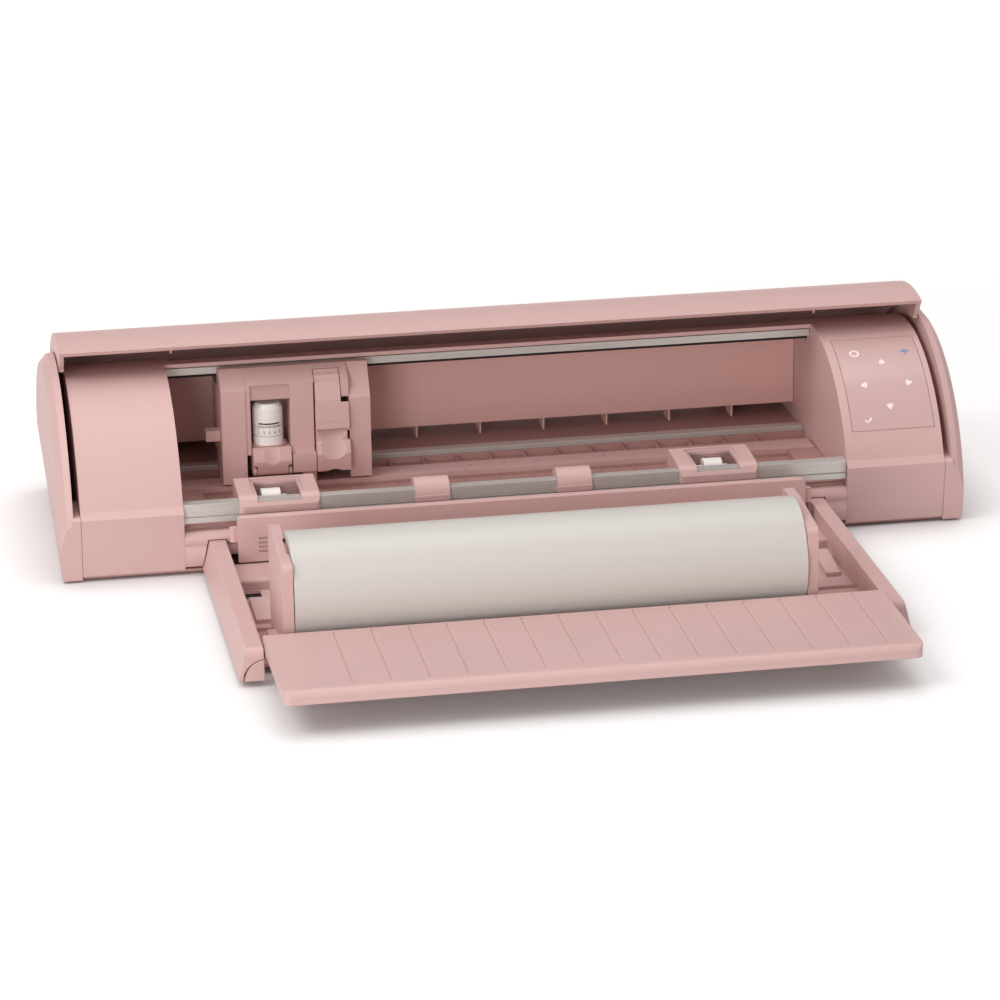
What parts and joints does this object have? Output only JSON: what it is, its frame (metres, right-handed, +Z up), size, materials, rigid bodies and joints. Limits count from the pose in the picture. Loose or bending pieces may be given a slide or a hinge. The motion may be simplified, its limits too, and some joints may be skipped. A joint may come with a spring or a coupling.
{
  "type": "vinyl cutter",
  "caption": "Desktop film cutter with a hinged lid, a tool carriage on rails, a pinch-roller feed and a pull-out drawer that holds a film roll behind a fold-down door",
  "frame": {"origin": "on the floor, under the middle of the machine's body (the drawer stands out in front of it)", "axes": "+X to the machine's right as its user faces it, +Y from front to back, +Z up; rest pose has the lid open and the drawer out"},
  "size_m": [0.57, 0.4735, 0.1282],
  "materials": {
    "shell": "satin moulded plastic",
    "inner": "matt moulded plastic, darker shade",
    "panel": "smooth touch surface",
    "rail": "drawn and anodised",
    "steel": "turned or pressed",
    "rubber": "matt black",
    "white": "white plastic",
    "board": "coated circuit board",
    "card": "wound cardboard",
    "film": "wound vinyl film, low sheen"
  },
  "bodies": {
    "machine": {"base_plate": "inner", "rubber_feet": "rubber", "left_end_cap": "shell", "right_end_cap": "shell", "left_front_cover": "shell", "right_front_cover": "shell", "touch_panel": "panel", "left_side_frame": "shell", "right_side_frame": "shell", "rear_shell": "shell", "back_wall": "inner", "feed_deck": "inner", "platen_strip": "shell", "front_sill": "shell", "film_guide": "shell", "pinch_bar": "rail", "bar_clips": "shell", "left_pinch_frame": "shell", "left_pinch_axle": "steel", "upper_rail": "rail", "lower_rail": "rail", "carriage_belt": "rubber", "carriage_motor": "steel", "idler_bracket": "steel", "feed_motor": "steel", "control_board": "board", "rear_sockets": "steel", "shaft_bearings": "steel", "lid_pins": "steel", "case_screws": "steel"},
    "lid_body": {"lid": "shell"},
    "shaft_body": {"drive_shaft": "steel", "feed_gear": "white"},
    "pinion_body": {"motor_pinion": "steel"},
    "left_roller_body": {"left_pinch_roller": "white"},
    "right_frame_body": {"right_pinch_frame": "shell", "right_pinch_axle": "steel"},
    "right_roller_body": {"right_pinch_roller": "white"},
    "carriage": {"carriage_body": "shell", "carriage_slider": "inner", "tool_two_pin": "steel"},
    "drive_pulley_body": {"drive_pulley": "steel"},
    "idler_pulley_body": {"idler_pulley": "steel"},
    "tool_one": {"tool_one_holder": "shell", "tool_one_pin": "steel", "blade_housing": "white"},
    "tool_one_lever_body": {"tool_one_lever": "shell"},
    "blade": {"blade_tip": "steel"},
    "tool_two": {"tool_two_holder": "shell"},
    "tool_two_lever_body": {"tool_two_lever": "shell"},
    "drawer": {"drawer_frame": "shell", "hinge_caps": "shell", "door_pins": "steel", "left_roll_support": "shell", "left_hub": "inner"},
    "door_body": {"door": "shell"},
    "right_support_body": {"right_roll_support": "shell", "right_hub": "inner"},
    "roll": {"roll_core": "card", "film_roll": "film"}
  },
  "joints": [
    {"name": "lid_hinge", "type": "hinge", "parent": "machine", "child": "lid_body", "pos_m": [0, 0.016, 0.013], "axis": [1, 0, 0], "range_deg": [0, 54]},
    {"name": "shaft_spin", "type": "hinge", "parent": "machine", "child": "shaft_body", "pos_m": [0, -0.071, 0.0266], "axis": [1, 0, 0], "continuous": true},
    {"name": "pinion_spin", "type": "hinge", "parent": "machine", "child": "pinion_body", "pos_m": [0.217, -0.047, 0.0266], "axis": [1, 0, 0], "continuous": true},
    {"name": "left_roller_spin", "type": "hinge", "parent": "machine", "child": "left_roller_body", "pos_m": [-0.1525, -0.071, 0.0375], "axis": [1, 0, 0], "continuous": true},
    {"name": "right_frame_slide", "type": "slide", "parent": "machine", "child": "right_frame_body", "axis": [1, 0, 0], "range_m": [-0.05, 0.045]},
    {"name": "right_roller_spin", "type": "hinge", "parent": "right_frame_body", "child": "right_roller_body", "pos_m": [0.1275, -0.071, 0.0375], "axis": [1, 0, 0], "continuous": true},
    {"name": "carriage_slide", "type": "slide", "parent": "machine", "child": "carriage", "axis": [1, 0, 0], "range_m": [-0.02, 0.279]},
    {"name": "drive_pulley_spin", "type": "hinge", "parent": "machine", "child": "drive_pulley_body", "pos_m": [-0.232, 0.0185, 0.094], "axis": [0, 0, 1], "continuous": true},
    {"name": "idler_pulley_spin", "type": "hinge", "parent": "machine", "child": "idler_pulley_body", "pos_m": [0.232, 0.0185, 0.094], "axis": [0, 0, 1], "continuous": true},
    {"name": "tool_one_lift", "type": "slide", "parent": "carriage", "child": "tool_one", "axis": [0, 0, 1], "range_m": [-0.0035, 0], "stiffness_N_per_m": 120, "springref_m": 0.01},
    {"name": "tool_one_lock", "type": "hinge", "parent": "tool_one", "child": "tool_one_lever_body", "pos_m": [-0.145, -0.0224, 0.04], "axis": [1, 0, 0], "range_deg": [0, 35]},
    {"name": "blade_swivel", "type": "hinge", "parent": "tool_one", "child": "blade", "pos_m": [-0.1458, -0.009, 0.04], "axis": [0, 0, 1], "continuous": true},
    {"name": "tool_two_lift", "type": "slide", "parent": "carriage", "child": "tool_two", "axis": [0, 0, 1], "range_m": [-0.0035, 0], "stiffness_N_per_m": 60, "springref_m": 0.01},
    {"name": "tool_two_lock", "type": "hinge", "parent": "carriage", "child": "tool_two_lever_body", "pos_m": [-0.106, -0.013, 0.0965], "axis": [-1, 0, 0], "range_deg": [0, 25]},
    {"name": "drawer_slide", "type": "slide", "parent": "machine", "child": "drawer", "axis": [0, 1, 0], "range_m": [0, 0.088]},
    {"name": "door_hinge", "type": "hinge", "parent": "drawer", "child": "door_body", "pos_m": [0, -0.285, 0.0192], "axis": [-1, 0, 0], "range_deg": [0, 90]},
    {"name": "right_support_slide", "type": "slide", "parent": "drawer", "child": "right_support_body", "axis": [1, 0, 0], "range_m": [0, 0.03]},
    {"name": "roll_spin", "type": "hinge", "parent": "drawer", "child": "roll", "pos_m": [-0.0115, -0.24, 0.04], "axis": [1, 0, 0], "continuous": true}
  ],
  "couplings": [
    {"joint": "pinion_spin", "follows": "shaft_spin", "ratio": -3},
    {"joint": "left_roller_spin", "follows": "shaft_spin", "ratio": -0.47222},
    {"joint": "right_roller_spin", "follows": "shaft_spin", "ratio": -0.47222},
    {"joint": "drive_pulley_spin", "follows": "carriage_slide", "rad_per_m": 196.08},
    {"joint": "idler_pulley_spin", "follows": "carriage_slide", "rad_per_m": 196.08}
  ]
}
